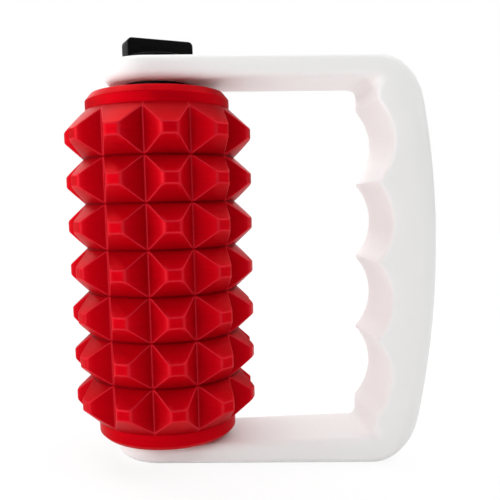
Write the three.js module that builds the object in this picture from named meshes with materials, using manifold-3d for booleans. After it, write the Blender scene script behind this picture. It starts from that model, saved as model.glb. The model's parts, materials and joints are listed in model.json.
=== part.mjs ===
// Rolling massager: a C-shaped handle that carries a spiked roller on a pull-out axle.
// Millimetres, +Z up. The origin is where the roller's axis meets the plane that the handle stands on,
// and the grip lies towards +X. The pieces are made upright about the roller's axis, and the whole
// assembly then leans with the underside of the bottom arm flat on the ground.

import * as THREE from 'three';
import { mergeVertices } from 'three/addons/utils/BufferGeometryUtils.js';
import Module from 'manifold-3d';

const wasm = await Module();
wasm.setup();

// Clearances, and the overrun of every cut
const pressGap = 0.1; // round a pressed piece, and between faces that rest on each other
const runningGap = 0.2; // round a shaft that turns or slides
const faceGap = 0.3; // between faces that slide past each other
const overrun = 1;

// Massage sleeve: rings of cut-off pyramids
const rowCount = 7;
const rowPitch = 14;
const columnCount = 11;
const valleyRadius = 24.2;
const tipRadius = 30;
const tipWidth = 5;
const tipHeight = 3.3;
const sleeveTurn = THREE.MathUtils.degToRad(8); // one column's direction, from -Y towards +X

// Roller core and end caps
const coreRadius = 17;
const coreWall = 2.5;
const capRadius = 23;
const capHeight = 5.2;
const capChamfer = 2.2;
const capSpigotDepth = 8;
const capSpigotWall = 2.4;
const capHubRadius = 9;

// Roller bushes and thrust washers
const bushFlangeRadius = 8.5;
const bushFlangeThickness = 1;
const bushRadius = 6.5;
const bushLength = 9;
const washerRadius = 9.5;
const washerThickness = 0.5;
const endPlay = 0.8; // added to the running gap over the roller

// Axle and its rubber rings
const axleRadius = 4;
const axleTipChamfer = 0.8;
const axleTipGap = 0.3;
const axleSpigotRadius = 2.4; // of the thinner end that the knob sits on
const ringGrooveRadius = 2.75;
const ringGrooveWidth = 1.5;
const ringCordRadius = 0.65;

// Fittings in the arms
const fittingFlangeRadius = 10.3;
const fittingFlangeThickness = 1.1;
const fittingRadius = 7;
const fittingRecess = 0.2; // the top bush's end below the arm's top
const socketFloor = 1;
const armFloor = 1.4; // the material left under the socket

// Handle
const handleWidth = 28;
const armThickness = 7.2;
const bottomArmThickness = 6.1; // at the roller's axis
const baseLean = THREE.MathUtils.degToRad(2.5); // of the bottom arm's underside, lower towards the grip
const armEndReach = 16.6; // from the roller's axis to the arms' free ends
const armEdgeRound = 2.5;
const gripFrontReach = 68.4; // from the roller's axis to the ridges between the fingers
const gripThickness = 21.8; // from those ridges to the back of the grip at mid height
const gripBowRadius = 272;
const gripBackRound = 8;
const gripFrontRound = 1.2;
const gripCornerRadius = 17;
const gripInnerFillet = 6.5;
const fingerCount = 4;
const fingerDepth = 5.1;
const fingerLand = 0.5; // straight length between the inner fillet and the first ridge

// Knob, its screw and its washer
const knobRadius = 10.4;
const knobBaseThickness = 0.95;
const knobBaseChamfer = 0.2;
const knobBarLength = 21.6;
const knobBarOffset = 0.7; // the bar's middle past the axle, along the bar
const knobBarWidth = 7;
const knobBarHeight = 5.35; // above the base
const knobBarCorner = 1.4;
const knobWeb = 2.2; // the material between the axle's end and the knob's top
const knobTurn = THREE.MathUtils.degToRad(20); // the bar's direction, from +X towards +Y
const knobWasherRadius = 6.5;
const knobWasherThickness = 0.4;
const screwRadius = 1.5;
const screwHeadRadius = 2.8;
const screwHeadHeight = 1.6;
const screwLength = 9;
const screwSocketRadius = 1.15;
const screwSocketDepth = 1;

// Facets
const sleeveSegments = 4 * columnCount;
const roundSegments = 48;
const smallSegments = 36;
const ringCordSegments = 8;
const ringSegments = 32;
const edgeSteps = 3;
const backRoundSteps = 5;
const cornerSteps = 8;
const fingerSteps = 8;

// Heights along the roller's axis
const ringRun = (rowPitch - tipHeight) / 2;
const ringSlope = (tipRadius - valleyRadius) / ringRun; // radius gained for each millimetre of height
const rowsHeight = rowCount * rowPitch;
const sleeveHeight = rowsHeight + (2 * (valleyRadius - capRadius)) / ringSlope;
const rollerHeight = sleeveHeight + 2 * capHeight;
const flangeStack = fittingFlangeThickness + 2 * pressGap; // an arm fitting's flange and its seat
const fittingStack = flangeStack + washerThickness + faceGap;
const handleGap = 2 * fittingStack + rollerHeight + endPlay;
const gripMiddle = bottomArmThickness + handleGap / 2;
const topArmUnderside = bottomArmThickness + handleGap;
const handleHeight = topArmUnderside + armThickness;
const rollerFoot = bottomArmThickness + fittingStack;
const rollerMiddle = rollerFoot + rollerHeight / 2;
const rollerTop = rollerFoot + rollerHeight;
const knobFoot = handleHeight + faceGap;
const knobWasherFoot = handleHeight - fittingRecess + pressGap;
const knobRecessTop = knobWasherFoot + knobWasherThickness + faceGap;
const knobBarTop = knobBaseThickness + knobBarHeight;
const axleTip = armFloor + pressGap + socketFloor + axleTipGap;
const axleShoulder = knobRecessTop - pressGap;
const axleTop = knobFoot + knobBarTop - knobWeb - pressGap;
const ringCentreRadius = axleRadius + (runningGap * 3) / 4 - ringCordRadius;
const upperRingHeight = handleHeight - armThickness / 2;
const lowerRingHeight = bottomArmThickness - ringGrooveWidth;
const gripBackReach = gripFrontReach + gripThickness;
const baseSlope = Math.tan(baseLean);

// Materials
const whitePlastic = new THREE.MeshStandardMaterial({ color: 0xf2f0ee, roughness: 0.42, metalness: 0 });
const redRubber = new THREE.MeshStandardMaterial({ color: 0xc8060f, roughness: 0.45, metalness: 0 });
const redPlastic = new THREE.MeshStandardMaterial({ color: 0xc1040d, roughness: 0.4, metalness: 0 });
const blackPlastic = new THREE.MeshStandardMaterial({ color: 0x161618, roughness: 0.5, metalness: 0 });
const blackRubber = new THREE.MeshStandardMaterial({ color: 0x101011, roughness: 0.75, metalness: 0 });
const paleAcetal = new THREE.MeshStandardMaterial({ color: 0xe6e2d8, roughness: 0.35, metalness: 0 });
const steel = new THREE.MeshStandardMaterial({ color: 0xc4c6c8, roughness: 0.28, metalness: 1 });

// Solids

// A closed geometry as a solid that can be joined and cut
function solid(geometry) {
  const bare = geometry.clone();
  bare.deleteAttribute('normal');
  bare.deleteAttribute('uv');
  const merged = mergeVertices(bare);
  const corners = merged.index.array;
  const triVerts = [];
  for (let i = 0; i < corners.length; i += 3) {
    const [a, b, c] = corners.slice(i, i + 3);
    if (a !== b && b !== c && c !== a) {
      triVerts.push(a, b, c);
    }
  }
  const mesh = new wasm.Mesh({
    numProp: 3,
    vertProperties: new Float32Array(merged.attributes.position.array),
    triVerts: new Uint32Array(triVerts),
  });
  return new wasm.Manifold(mesh);
}

function geometryOf(body) {
  const mesh = body.getMesh();
  const geometry = new THREE.BufferGeometry();
  geometry.setAttribute('position', new THREE.BufferAttribute(new Float32Array(mesh.vertProperties), 3));
  geometry.setIndex(new THREE.BufferAttribute(new Uint32Array(mesh.triVerts), 1));
  geometry.computeVertexNormals();
  return geometry;
}

// A profile of [radius, height] pairs, counterclockwise, turned about Z and closed on itself or on the axis
function turned(profile, segments, start = 0) {
  const points = profile.map(([radius, height]) => new THREE.Vector2(radius, height));
  const onAxis = profile[0][0] === 0 && profile.at(-1)[0] === 0;
  if (!onAxis) {
    points.push(points[0].clone());
  }
  return solid(new THREE.LatheGeometry(points, segments, start).rotateX(Math.PI / 2));
}

function rod(radius, foot, top, segments = roundSegments) {
  return turned([[0, foot], [radius, foot], [radius, top], [0, top]], segments);
}

function tube(bore, radius, foot, top, segments = roundSegments) {
  return turned([[bore, foot], [radius, foot], [radius, top], [bore, top]], segments);
}

function part(name, body, material) {
  const mesh = new THREE.Mesh(geometryOf(body), material);
  mesh.name = name;
  return mesh;
}

// Handle

// The closed outline of the grip or arm at one place, from its inner point to its outer point
function sectionLoop({ inner, outer, innerRound, outerRound }) {
  const depth = inner.distanceTo(outer);
  const across = outer.clone().sub(inner).divideScalar(depth);
  const side = handleWidth / 2;
  const corners = [
    [innerRound, side - innerRound, innerRound, Math.PI, edgeSteps],
    [depth - outerRound, side - outerRound, outerRound, Math.PI / 2, backRoundSteps],
    [depth - outerRound, outerRound - side, outerRound, 0, backRoundSteps],
    [innerRound, innerRound - side, innerRound, -Math.PI / 2, edgeSteps],
  ];
  const loop = [];
  for (const [centreAcross, centreSide, radius, start, steps] of corners) {
    for (let k = 0; k <= steps; k += 1) {
      const angle = start - (k / steps) * (Math.PI / 2);
      const reach = centreAcross + radius * Math.cos(angle);
      const x = inner.x + across.x * reach;
      const z = inner.y + across.y * reach;
      loop.push([x, centreSide + radius * Math.sin(angle), z]);
    }
  }
  return loop;
}

// Section places from the arm's free end round the corner to mid grip, heights measured from mid grip.
// The arm has its thickness at the roller's axis, and its outer face rises by its slope towards the grip.
function halfSections(thickness, slope) {
  const armStart = handleWidth / 2 - armEndReach;
  const armInner = handleGap / 2;
  const filletX = gripFrontReach - gripInnerFillet;
  const filletZ = armInner - gripInnerFillet;
  const bowX = gripBackReach - gripBowRadius;
  const bowToCorner = gripBowRadius - gripCornerRadius;
  // The corner's centre lies one corner radius inside both the outer face and the bow
  const steepness = Math.hypot(1, slope);
  const insideFace = armInner + thickness - gripCornerRadius * steepness;
  const alongFace = bowX - slope * insideFace;
  const offBow = bowX ** 2 + insideFace ** 2 - bowToCorner ** 2;
  const cornerX = (alongFace + Math.sqrt(alongFace ** 2 - steepness ** 2 * offBow)) / steepness ** 2;
  const cornerZ = insideFace + slope * cornerX;
  const bowAngle = Math.asin(cornerZ / bowToCorner);
  const bowTop = gripBowRadius * Math.sin(bowAngle);
  const sections = [{
    inner: new THREE.Vector2(armStart, armInner),
    outer: new THREE.Vector2(armStart, armInner + thickness + slope * armStart),
    innerRound: armEdgeRound,
    outerRound: armEdgeRound,
  }];
  for (let k = 0; k <= cornerSteps; k += 1) {
    const share = k / cornerSteps;
    const innerAngle = (1 - share) * (Math.PI / 2);
    const outerAngle = THREE.MathUtils.lerp(Math.PI / 2 + Math.atan(slope), bowAngle, share);
    const blend = THREE.MathUtils.smoothstep(share, 0, 1);
    sections.push({
      inner: new THREE.Vector2(
        filletX + gripInnerFillet * Math.cos(innerAngle),
        filletZ + gripInnerFillet * Math.sin(innerAngle),
      ),
      outer: new THREE.Vector2(
        cornerX + gripCornerRadius * Math.cos(outerAngle),
        cornerZ + gripCornerRadius * Math.sin(outerAngle),
      ),
      innerRound: THREE.MathUtils.lerp(armEdgeRound, gripFrontRound, blend),
      outerRound: THREE.MathUtils.lerp(armEdgeRound, gripBackRound, blend),
    });
  }
  const fingersTop = filletZ - fingerLand;
  const fingerPitch = (2 * fingersTop) / fingerCount;
  const fingerRadius = (fingerPitch ** 2 / 4 + fingerDepth ** 2) / (2 * fingerDepth);
  const fingerAngle = Math.asin(fingerPitch / 2 / fingerRadius);
  for (let finger = 0; finger < fingerCount / 2; finger += 1) {
    const middle = fingersTop - (finger + 1 / 2) * fingerPitch;
    const firstStep = finger === 0 ? 0 : 1;
    for (let k = firstStep; k <= fingerSteps; k += 1) {
      const angle = fingerAngle * (1 - (2 * k) / fingerSteps);
      const height = middle + fingerRadius * Math.sin(angle);
      const outerHeight = (height * bowTop) / filletZ;
      sections.push({
        inner: new THREE.Vector2(
          gripFrontReach + fingerDepth - fingerRadius * (1 - Math.cos(angle)),
          height,
        ),
        outer: new THREE.Vector2(bowX + Math.sqrt(gripBowRadius ** 2 - outerHeight ** 2), outerHeight),
        innerRound: gripFrontRound,
        outerRound: gripBackRound,
      });
    }
  }
  return sections;
}

function mirrored(section) {
  return {
    ...section,
    inner: new THREE.Vector2(section.inner.x, -section.inner.y),
    outer: new THREE.Vector2(section.outer.x, -section.outer.y),
  };
}

// A skin through loops of equal length, closed at both ends
function loft(loops) {
  const count = loops[0].length;
  const indices = [];
  for (let i = 0; i + 1 < loops.length; i += 1) {
    for (let j = 0; j < count; j += 1) {
      const next = (j + 1) % count;
      const a = i * count + j;
      const b = i * count + next;
      const c = b + count;
      const d = a + count;
      indices.push(a, b, c, a, c, d);
    }
  }
  const last = (loops.length - 1) * count;
  for (let j = 1; j + 1 < count; j += 1) {
    indices.push(0, j + 1, j, last, last + j, last + j + 1);
  }
  const geometry = new THREE.BufferGeometry();
  geometry.setAttribute('position', new THREE.Float32BufferAttribute(loops.flat(2), 3));
  geometry.setIndex(indices);
  return solid(geometry);
}

// The round free end of an arm with its inner face at zero and its outer face up: a disc with the arm's
// rounded edge, whose heights are stretched along X with the arm's slope
function armEnd(thickness, slope) {
  const middle = handleWidth / 2 - armEndReach;
  const height = thickness + slope * middle;
  const points = [new THREE.Vector2(0, 0)];
  for (const [centre, start, steps] of [
    [armEdgeRound, -Math.PI / 2, edgeSteps],
    [height - armEdgeRound, 0, backRoundSteps],
  ]) {
    for (let k = 0; k <= steps; k += 1) {
      const angle = start + (k / steps) * (Math.PI / 2);
      const radius = handleWidth / 2 - armEdgeRound + armEdgeRound * Math.cos(angle);
      points.push(new THREE.Vector2(radius, centre + armEdgeRound * Math.sin(angle)));
    }
  }
  points.push(new THREE.Vector2(0, height));
  const geometry = new THREE.LatheGeometry(points, roundSegments).rotateX(Math.PI / 2);
  const places = geometry.attributes.position;
  for (let i = 0; i < places.count; i += 1) {
    places.setZ(i, places.getZ(i) * (1 + (slope * places.getX(i)) / height));
  }
  return solid(geometry.translate(middle, 0, 0));
}

function handleFrame() {
  const upper = halfSections(armThickness, 0);
  const lower = halfSections(bottomArmThickness, baseSlope).slice(0, -1).reverse().map(mirrored);
  const frame = loft([...upper, ...lower].map(sectionLoop)).translate([0, 0, gripMiddle]);
  const topEnd = armEnd(armThickness, 0).translate([0, 0, topArmUnderside]);
  const lowEnd = armEnd(bottomArmThickness, baseSlope).mirror([0, 0, 1]);
  const bottomEnd = lowEnd.translate([0, 0, bottomArmThickness]);
  const bore = fittingRadius + pressGap;
  const topBore = rod(bore, topArmUnderside - overrun, handleHeight + overrun);
  const bottomPocket = rod(bore, armFloor, bottomArmThickness + overrun);
  return frame.add(topEnd).add(bottomEnd).subtract(topBore).subtract(bottomPocket);
}

// Fittings in the arms

function topArmBush() {
  const bore = axleRadius + runningGap;
  const flangeTop = topArmUnderside - pressGap;
  const flangeFoot = flangeTop - fittingFlangeThickness;
  return turned([
    [bore, flangeFoot],
    [fittingFlangeRadius, flangeFoot],
    [fittingFlangeRadius, flangeTop],
    [fittingRadius, flangeTop],
    [fittingRadius, handleHeight - fittingRecess],
    [bore, handleHeight - fittingRecess],
  ], roundSegments);
}

function bottomArmSocket() {
  const bore = axleRadius + runningGap;
  const foot = armFloor + pressGap;
  const flangeFoot = bottomArmThickness + pressGap;
  const top = flangeFoot + fittingFlangeThickness;
  return turned([
    [0, foot],
    [fittingRadius, foot],
    [fittingRadius, flangeFoot],
    [fittingFlangeRadius, flangeFoot],
    [fittingFlangeRadius, top],
    [bore, top],
    [bore, foot + socketFloor],
    [0, foot + socketFloor],
  ], roundSegments);
}

function thrustWasher(foot) {
  return tube(axleRadius + runningGap, washerRadius, foot, foot + washerThickness);
}

// Roller

// The star-shaped outline that all rings share: flat tips, straight flanks and sharp grooves
function starOutline() {
  const outline = new THREE.Shape();
  const half = Math.PI / columnCount;
  const tipAngle = Math.atan(tipWidth / 2 / tipRadius);
  const tipReach = Math.hypot(tipRadius, tipWidth / 2);
  for (let column = 0; column < columnCount; column += 1) {
    const middle = sleeveTurn + 2 * half * column - Math.PI / 2;
    for (const [reach, offset] of [[valleyRadius, -half], [tipReach, -tipAngle], [tipReach, tipAngle]]) {
      const x = reach * Math.cos(middle + offset);
      const y = reach * Math.sin(middle + offset);
      if (outline.curves.length === 0 && outline.currentPoint.lengthSq() === 0) {
        outline.moveTo(x, y);
      } else {
        outline.lineTo(x, y);
      }
    }
  }
  outline.closePath();
  return outline;
}

function rollerSleeve() {
  const foot = -sleeveHeight / 2;
  const ridgeRadius = valleyRadius + (ringSlope * rowPitch) / 2;
  const bore = coreRadius + pressGap;
  const profile = [[bore, foot], [capRadius, foot]];
  for (let row = 0; row < rowCount; row += 1) {
    const rowFoot = row * rowPitch - rowsHeight / 2;
    profile.push([ridgeRadius, rowFoot + rowPitch / 2]);
    if (row + 1 < rowCount) {
      profile.push([valleyRadius, rowFoot + rowPitch]);
    }
  }
  profile.push([capRadius, -foot], [bore, -foot]);
  const halfColumn = Math.PI / columnCount;
  const rings = turned(profile, sleeveSegments, sleeveTurn - halfColumn);
  const star = new THREE.ExtrudeGeometry(starOutline(), {
    depth: sleeveHeight + 2 * overrun,
    bevelEnabled: false,
    curveSegments: 1,
  });
  star.translate(0, 0, foot - overrun);
  return rings.intersect(solid(star)).translate([0, 0, rollerMiddle]);
}

function rollerCore() {
  const half = sleeveHeight / 2;
  return tube(coreRadius - coreWall, coreRadius, rollerMiddle - half, rollerMiddle + half);
}

// An end cap with its outer face up at zero: a chamfered collar, a spigot in the core and a bush hub
function endCap() {
  const inside = pressGap - capHeight;
  const deep = inside - capSpigotDepth;
  const spigot = coreRadius - coreWall - pressGap;
  const bore = bushRadius + pressGap;
  const seat = -bushFlangeThickness - pressGap;
  return turned([
    [bore, deep],
    [capHubRadius, deep],
    [capHubRadius, inside],
    [spigot - capSpigotWall, inside],
    [spigot - capSpigotWall, deep],
    [spigot, deep],
    [spigot, inside],
    [capRadius, inside],
    [capRadius, -capChamfer],
    [capRadius - capChamfer, 0],
    [bushFlangeRadius + pressGap, 0],
    [bushFlangeRadius + pressGap, seat],
    [bore, seat],
  ], roundSegments);
}

// A flanged bush with its flange's outer face up at zero
function rollerBush() {
  const bore = axleRadius + runningGap;
  return turned([
    [bore, -bushLength],
    [bushRadius, -bushLength],
    [bushRadius, -bushFlangeThickness],
    [bushFlangeRadius, -bushFlangeThickness],
    [bushFlangeRadius, 0],
    [bore, 0],
  ], smallSegments);
}

function atRollerTop(body) {
  return body.translate([0, 0, rollerTop]);
}

function atRollerFoot(body) {
  return body.rotate([180, 0, 0]).translate([0, 0, rollerFoot]);
}

// Axle, rings and knob

function axle() {
  const profile = [
    [0, axleTip],
    [axleRadius - axleTipChamfer, axleTip],
    [axleRadius, axleTip + axleTipChamfer],
  ];
  for (const middle of [lowerRingHeight, upperRingHeight]) {
    const low = middle - ringGrooveWidth / 2;
    const high = middle + ringGrooveWidth / 2;
    profile.push([axleRadius, low], [ringGrooveRadius, low], [ringGrooveRadius, high], [axleRadius, high]);
  }
  profile.push([axleRadius, axleShoulder], [axleSpigotRadius, axleShoulder]);
  profile.push([axleSpigotRadius, axleTop], [0, axleTop]);
  const screwEnd = knobFoot + knobBarTop - screwLength;
  const hole = rod(screwRadius + pressGap, screwEnd - faceGap, axleTop + overrun, smallSegments);
  return turned(profile, smallSegments).subtract(hole);
}

function rubberRing(height) {
  return solid(new THREE.TorusGeometry(ringCentreRadius, ringCordRadius, ringCordSegments, ringSegments))
    .translate([0, 0, height]);
}

// The washer that the knob turns on, between the top arm's bush and the recess under the knob
function knobWasher() {
  const top = knobWasherFoot + knobWasherThickness;
  return tube(axleRadius + runningGap, knobWasherRadius, knobWasherFoot, top);
}

// The front outline of the knob's bar, with its two upper corners rounded
function barOutline() {
  const corner = knobBarTop - knobBarCorner;
  const left = knobBarOffset - knobBarLength / 2;
  const right = knobBarOffset + knobBarLength / 2;
  const outline = new THREE.Shape();
  outline.moveTo(left, 0);
  outline.lineTo(right, 0);
  outline.absarc(right - knobBarCorner, corner, knobBarCorner, 0, Math.PI / 2, false);
  outline.absarc(left + knobBarCorner, corner, knobBarCorner, Math.PI / 2, Math.PI, false);
  outline.closePath();
  return outline;
}

// The knob with its foot at zero and its bar along X
function releaseKnob() {
  const base = turned([
    [0, 0],
    [knobRadius, 0],
    [knobRadius, knobBaseThickness - knobBaseChamfer],
    [knobRadius - knobBaseChamfer, knobBaseThickness],
    [0, knobBaseThickness],
  ], roundSegments);
  const bar = new THREE.ExtrudeGeometry(barOutline(), {
    depth: knobBarWidth,
    bevelEnabled: false,
    curveSegments: backRoundSteps,
  });
  bar.translate(0, 0, -knobBarWidth / 2).rotateX(Math.PI / 2);
  const recess = rod(knobWasherRadius + faceGap, -overrun, knobRecessTop - knobFoot);
  const socket = rod(axleSpigotRadius + pressGap, -overrun, knobBarTop - knobWeb, smallSegments);
  const head = screwHeadRadius + pressGap;
  const shank = screwRadius + pressGap;
  const screwHole = turned([
    [0, 0],
    [shank, 0],
    [shank, knobBarTop - screwHeadHeight],
    [head, knobBarTop],
    [head, knobBarTop + overrun],
    [0, knobBarTop + overrun],
  ], smallSegments);
  return base.add(solid(bar)).subtract(recess).subtract(socket).subtract(screwHole);
}

function knobScrew() {
  const top = knobFoot + knobBarTop;
  const blank = turned([
    [0, top - screwLength],
    [screwRadius, top - screwLength],
    [screwRadius, top - screwHeadHeight],
    [screwHeadRadius, top],
    [0, top],
  ], smallSegments);
  const hexSocket = new THREE.CylinderGeometry(
    screwSocketRadius, screwSocketRadius, screwSocketDepth + overrun, 6,
  );
  hexSocket.rotateX(Math.PI / 2).translate(0, 0, top + (overrun - screwSocketDepth) / 2);
  return blank.subtract(solid(hexSocket));
}

// Assembly

const handle = new THREE.Group();
handle.add(
  part('handle_frame', handleFrame(), whitePlastic),
  part('top_arm_bush', topArmBush(), blackPlastic),
  part('bottom_arm_socket', bottomArmSocket(), blackPlastic),
  part('bottom_thrust_washer', thrustWasher(bottomArmThickness + flangeStack), paleAcetal),
);

const roller = new THREE.Group();
roller.add(
  part('roller_sleeve', rollerSleeve(), redRubber),
  part('roller_core', rollerCore(), blackPlastic),
  part('top_end_cap', atRollerTop(endCap()), redPlastic),
  part('bottom_end_cap', atRollerFoot(endCap()), redPlastic),
  part('top_roller_bush', atRollerTop(rollerBush()), blackPlastic),
  part('bottom_roller_bush', atRollerFoot(rollerBush()), blackPlastic),
  part('top_thrust_washer', thrustWasher(rollerTop + pressGap), paleAcetal),
);

const knob = part('release_knob', releaseKnob(), blackPlastic);
knob.position.z = knobFoot;
knob.rotation.z = knobTurn;

const axleUnit = new THREE.Group();
axleUnit.add(
  part('axle', axle(), steel),
  part('upper_o_ring', rubberRing(upperRingHeight), blackRubber),
  part('lower_o_ring', rubberRing(lowerRingHeight), blackRubber),
  part('knob_washer', knobWasher(), blackPlastic),
  part('knob_screw', knobScrew(), steel),
  knob,
);

const massager = new THREE.Group();
massager.add(handle, roller, axleUnit);
massager.rotation.y = -baseLean;

export default massager;
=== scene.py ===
import json
import math
import bpy
import bmesh
import numpy as np
from mathutils import Matrix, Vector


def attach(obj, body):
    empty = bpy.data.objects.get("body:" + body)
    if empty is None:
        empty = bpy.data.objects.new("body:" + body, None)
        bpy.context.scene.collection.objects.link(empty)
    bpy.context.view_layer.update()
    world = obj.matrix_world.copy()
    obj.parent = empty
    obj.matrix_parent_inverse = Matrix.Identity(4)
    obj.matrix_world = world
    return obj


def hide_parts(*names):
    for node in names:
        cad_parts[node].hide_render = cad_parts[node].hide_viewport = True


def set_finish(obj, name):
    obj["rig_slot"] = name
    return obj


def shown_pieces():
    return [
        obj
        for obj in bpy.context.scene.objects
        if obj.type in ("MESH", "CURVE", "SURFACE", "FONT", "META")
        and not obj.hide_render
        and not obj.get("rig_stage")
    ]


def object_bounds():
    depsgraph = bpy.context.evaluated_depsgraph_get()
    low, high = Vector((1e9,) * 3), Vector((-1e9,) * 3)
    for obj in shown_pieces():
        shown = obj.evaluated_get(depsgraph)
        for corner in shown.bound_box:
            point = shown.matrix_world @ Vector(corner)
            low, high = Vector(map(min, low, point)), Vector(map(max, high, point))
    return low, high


# Rolling massager: camera and studio first, then each piece with its own values, then the finishes.
# Shapes are in millimetres, upright about the roller's axis, and placed() stands them in the frame.

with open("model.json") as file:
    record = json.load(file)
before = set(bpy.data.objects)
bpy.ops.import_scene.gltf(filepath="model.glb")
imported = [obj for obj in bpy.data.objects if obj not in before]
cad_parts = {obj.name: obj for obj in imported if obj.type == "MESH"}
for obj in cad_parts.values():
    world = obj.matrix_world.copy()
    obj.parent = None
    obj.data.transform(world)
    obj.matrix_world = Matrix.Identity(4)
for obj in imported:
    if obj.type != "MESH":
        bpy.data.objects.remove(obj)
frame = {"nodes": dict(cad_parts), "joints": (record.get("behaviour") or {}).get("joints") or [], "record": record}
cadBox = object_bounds()
scene = bpy.context.scene
metres = 0.001  # one millimetre

spinJoint = next(joint for joint in frame["joints"] if joint["name"] == "roller_spin")
lean = math.atan2(-spinJoint["axis"][0], spinJoint["axis"][2])  # of the roller's axis, towards -X
print("frame loaded, the roller leans", round(math.degrees(lean), 2), "degrees")


# Camera

cameraSet = {
    "place": (3.29, -215.134, 83.922),  # millimetres
    "yaw": 4.193,  # degrees from +Y towards +X
    "pitch": -6.996,
    "roll": 1.233,
    "sensor": 36,
    "lens": 46.467,
    "shift": (0.044, 0.070),
}


def standing(position, right, up, back):
    # the matrix of a camera or lamp at a position in metres: its own three axes are the columns
    return Matrix.Translation(position) @ Matrix(np.column_stack([right, up, back]).tolist()).to_4x4()


def addCamera(v):
    # ahead comes from yaw and pitch, and roll turns the level right and up directions about it
    yaw, pitch, roll = (math.radians(v[key]) for key in ("yaw", "pitch", "roll"))
    ahead = np.array([math.sin(yaw) * math.cos(pitch), math.cos(yaw) * math.cos(pitch), math.sin(pitch)])
    level = np.array([math.cos(yaw), -math.sin(yaw), 0])
    above = np.cross(level, ahead)
    right = math.cos(roll) * level + math.sin(roll) * above
    up = -math.sin(roll) * level + math.cos(roll) * above
    data = bpy.data.cameras.new("camera")
    data.sensor_width = v["sensor"]
    data.lens = v["lens"]
    data.shift_x, data.shift_y = v["shift"]
    camera = bpy.data.objects.new("camera", data)
    scene.collection.objects.link(camera)
    camera.matrix_world = standing(np.array(v["place"]) * metres, right, up, -ahead)
    scene.camera = camera


addCamera(cameraSet)
scene.view_settings.view_transform = "Standard"


# Node tools


def addNode(tree, kind, inputs, operation=None):
    # inputs go by name or number, and each is a fixed value or the output of another node
    node = tree.nodes.new(kind)
    if operation:
        node.operation = operation
    for key, value in inputs.items():
        if isinstance(value, bpy.types.NodeSocket):
            tree.links.new(value, node.inputs[key])
        else:
            node.inputs[key].default_value = value
    return node


def mathNode(tree, operation, first, second):
    return addNode(tree, "ShaderNodeMath", {0: first, 1: second}, operation).outputs[0]


def rangeNode(tree, value, toLow, toHigh, fromLow=0, fromHigh=1, interpolation="LINEAR"):
    # a value carried from one range to another and held at its ends
    node = addNode(tree, "ShaderNodeMapRange", {
        "Value": value, "From Min": fromLow, "From Max": fromHigh, "To Min": toLow, "To Max": toHigh,
    })
    node.interpolation_type = interpolation
    return node.outputs[0]


def showMixed(tree, share, first, second, kind):
    # the tree's output node gets the first shader, and the second one where the share is 1
    mix = addNode(tree, "ShaderNodeMixShader", {0: share, 1: first.outputs[0], 2: second.outputs[0]})
    addNode(tree, kind, {"Surface": mix.outputs[0]})


# Studio: softboxes on all sides, a pale floor and a plain white surround

studio = {
    "boxes": [  # name, azimuth from -Y towards +X, elevation, size in metres, watts
        ("leftBox", -95, 15, 0.5, 1.3),
        ("keyBox", -66, 12, 0.5, 2.4),
        ("frontBox", -30, 12, 0.5, 1.5),
        ("frontRightBox", 45, 45, 0.5, 1.1),
        ("rightBox", 85, 15, 0.5, 0.6),
        ("upperRightBox", 85, 50, 0.5, 1.9),
        ("backRightBox", 140, 35, 0.5, 1.05),
        ("backLeftBox", -140, 35, 0.5, 1.7),
        ("highLeftBox", -120, 62, 0.3, 1.4),
        ("highBackBox", 180, 65, 0.5, 1.0),
        ("lowBackBox", 180, 20, 0.5, 1.0),
        ("topBox", 0, 86, 0.3, 0.5),
    ],
    "aim": (0.03, 0, 0.07),  # metres
    "distance": 0.8,  # of every softbox from there
    "room": 0.03,  # strength of the world as it lights the object
    "gleam": 0.3,  # how bright the backdrop is in gloss
    "backdropEdge": (-0.1, 0.5),  # share of +Y in a direction where the backdrop starts and is full
    "floor": 0.96,
    "floorReach": 2,
    "floorDrop": 0.0001,  # below the object's lowest point
    "floorShade": 0.16,  # how much of the floor's own shading the camera sees close to the object
    "floorGlow": 1.03,
    "shadeReach": (0.15, 0.45),  # metres from the origin, where the shading starts to fade and is gone
}


def addBox(name, azimuth, elevation, size, power):
    data = bpy.data.lights.new(name, "AREA")
    data.size = size
    data.energy = power
    turn, rise = math.radians(azimuth), math.radians(elevation)
    away = np.array([math.sin(turn) * math.cos(rise), -math.cos(turn) * math.cos(rise), math.sin(rise)])
    side = np.cross([0, 0, 1], away)
    side /= np.linalg.norm(side)
    lamp = bpy.data.objects.new(name, data)
    scene.collection.objects.link(lamp)
    place = np.array(studio["aim"]) + away * studio["distance"]
    lamp.matrix_world = standing(place, side, np.cross(away, side), away)


def addWorld():
    # white to the camera and through glass, dimmer in gloss and only towards the backdrop, and dim as a lamp
    world = bpy.data.worlds.new("surround")
    scene.world = world
    world.use_nodes = True
    tree = world.node_tree
    tree.nodes.clear()
    place = addNode(tree, "ShaderNodeTexCoord", {})
    split = addNode(tree, "ShaderNodeSeparateXYZ", {0: place.outputs["Generated"]})
    behind = rangeNode(tree, split.outputs["Y"], 0, 1, *studio["backdropEdge"], "SMOOTHSTEP")
    path = addNode(tree, "ShaderNodeLightPath", {})
    gloss = mathNode(tree, "MULTIPLY", path.outputs["Is Glossy Ray"], behind)
    gloss = mathNode(tree, "MULTIPLY", gloss, studio["gleam"])
    seen = mathNode(tree, "MAXIMUM", path.outputs["Is Camera Ray"], path.outputs["Is Transmission Ray"])
    room, white = (
        addNode(tree, "ShaderNodeBackground", {"Color": (1, 1, 1, 1), "Strength": strength})
        for strength in (studio["room"], 1)
    )
    showMixed(tree, mathNode(tree, "MAXIMUM", gloss, seen), room, white, "ShaderNodeOutputWorld")


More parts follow.
